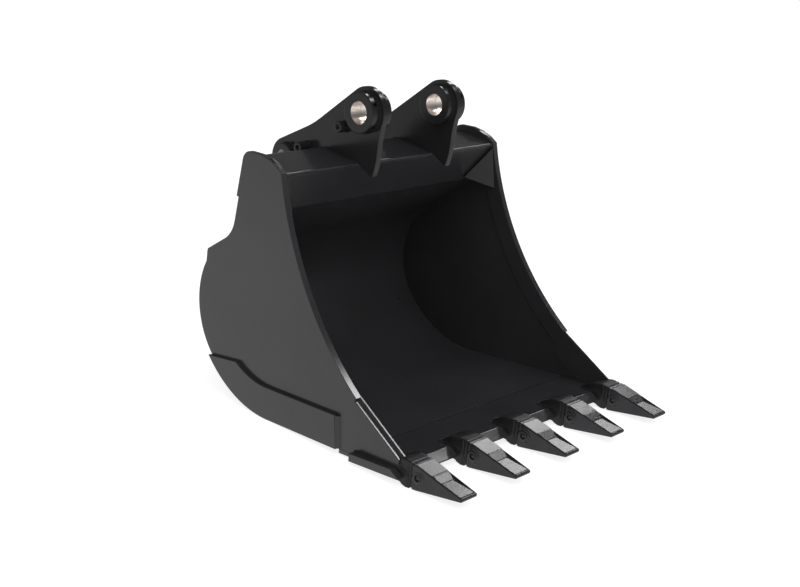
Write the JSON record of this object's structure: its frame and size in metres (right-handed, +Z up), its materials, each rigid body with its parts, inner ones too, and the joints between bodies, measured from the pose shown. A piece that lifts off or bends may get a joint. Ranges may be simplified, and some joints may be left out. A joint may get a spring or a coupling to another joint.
{
  "type": "excavator bucket",
  "caption": "Welded steel digging bucket for an excavator, with a curved shell, replaceable cast teeth along the lip, and ears with bushed pin bores.",
  "frame": {"origin": "middle of the stick pin's axis, on the plane that halves the bucket", "axes": "+X across the bucket towards its right-hand side seen from the machine's cab, -Y towards the teeth and +Y towards the back, +Z up with the bucket standing on its heel, lip and teeth"},
  "size_m": [1.244, 1.404, 1.2019],
  "materials": {
    "shell_paint": "semi-gloss",
    "hitch_paint": "semi-gloss",
    "lip_paint": "semi-gloss",
    "adapter_casting": "satin, over a cast surface",
    "tooth_casting": "satin, over a cast surface",
    "pin_steel": "satin",
    "bush_metal": "machined"
  },
  "bodies": {
    "root": {"wrapper": "shell_paint", "side_plate_left": "shell_paint", "side_plate_right": "shell_paint", "edge_bar_left": "shell_paint", "edge_bar_right": "shell_paint", "side_blade_left": "shell_paint", "side_blade_right": "shell_paint", "wear_plate_left": "shell_paint", "wear_plate_right": "shell_paint", "lip_plate": "lip_paint", "top_panel": "shell_paint", "throat_plate": "shell_paint", "rear_skin": "shell_paint", "ledge_plate": "shell_paint", "corner_gusset_left": "shell_paint", "corner_gusset_right": "shell_paint", "ear_left": "hitch_paint", "ear_right": "hitch_paint", "stick_outer_boss_left": "hitch_paint", "stick_outer_boss_right": "hitch_paint", "stick_inner_boss_left": "hitch_paint", "stick_inner_boss_right": "hitch_paint", "link_outer_boss_left": "hitch_paint", "link_outer_boss_right": "hitch_paint", "link_inner_boss_left": "hitch_paint", "link_inner_boss_right": "hitch_paint", "stick_bush_left": "bush_metal", "stick_bush_right": "bush_metal", "link_bush_left": "bush_metal", "link_bush_right": "bush_metal", "stick_collar_left": "hitch_paint", "stick_collar_right": "hitch_paint", "link_collar_left": "hitch_paint", "link_collar_right": "hitch_paint", "adapter_1": "adapter_casting", "adapter_2": "adapter_casting", "adapter_3": "adapter_casting", "adapter_4": "adapter_casting", "adapter_5": "adapter_casting", "tooth_1": "tooth_casting", "tooth_2": "tooth_casting", "tooth_3": "tooth_casting", "tooth_4": "tooth_casting", "tooth_5": "tooth_casting", "lock_pin_1": "pin_steel", "lock_pin_2": "pin_steel", "lock_pin_3": "pin_steel", "lock_pin_4": "pin_steel", "lock_pin_5": "pin_steel", "pin_retainers": "tooth_casting"}
  },
  "joints": []
}
